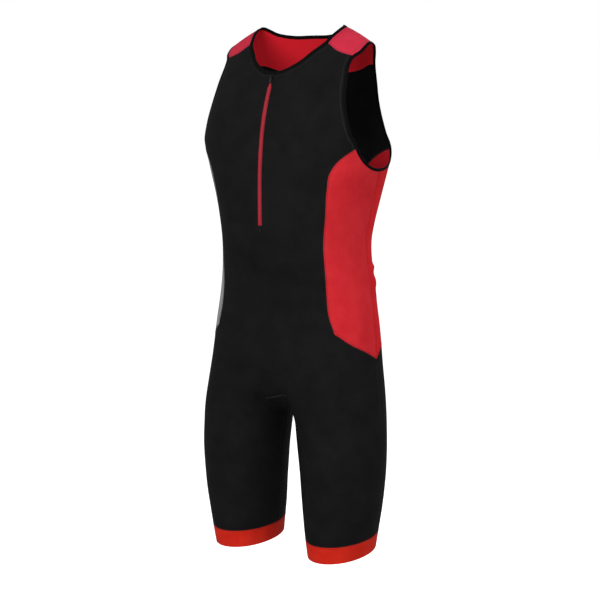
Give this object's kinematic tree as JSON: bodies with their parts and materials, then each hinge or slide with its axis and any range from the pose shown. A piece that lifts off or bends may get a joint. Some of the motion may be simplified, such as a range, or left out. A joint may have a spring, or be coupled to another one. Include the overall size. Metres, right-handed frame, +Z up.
{
  "type": "triathlon suit",
  "caption": "Sleeveless one-piece triathlon suit with mid-thigh legs, a front zip, a contrast yoke, side panels and leg bands, filled out as worn",
  "frame": {"origin": "the middle of the line between the two shoulder straps, where a wearer's shoulders hold the suit up", "axes": "+Z up along the suit's height, -Y the front with the zip, +X the wearer's left"},
  "size_m": [0.3442, 0.2459, 0.9144],
  "materials": {
    "front": "knitted cloth",
    "back": "knitted cloth",
    "yoke": "knitted cloth",
    "crotch_gusset": "knitted cloth",
    "side_front_left": "knitted cloth",
    "side_back_left": "knitted cloth",
    "side_front_right": "knitted cloth",
    "side_back_right": "knitted cloth",
    "leg_band_left": "knitted cloth",
    "leg_band_right": "knitted cloth",
    "zip_tape": "knitted cloth",
    "neck_binding": "knitted cloth",
    "armhole_binding_left": "knitted cloth",
    "armhole_binding_right": "knitted cloth",
    "zip_slider": "black lacquer",
    "zip_pull": "black lacquer"
  },
  "bodies": {
    "suit": {"front": "front", "back": "back", "yoke": "yoke", "crotch_gusset": "crotch_gusset", "side_front_left": "side_front_left", "side_back_left": "side_back_left", "side_front_right": "side_front_right", "side_back_right": "side_back_right", "leg_band_left": "leg_band_left", "leg_band_right": "leg_band_right", "zip_tape": "zip_tape", "neck_binding": "neck_binding", "armhole_binding_left": "armhole_binding_left", "armhole_binding_right": "armhole_binding_right", "zip_slider": "zip_slider"},
    "pull": {"zip_pull": "zip_pull"}
  },
  "joints": [
    {"name": "zip_pull_swing", "type": "hinge", "parent": "suit", "child": "pull", "pos_m": [0, -0.09908, -0.07206], "axis": [-1, 0, 0], "range_deg": [0, 150]}
  ]
}
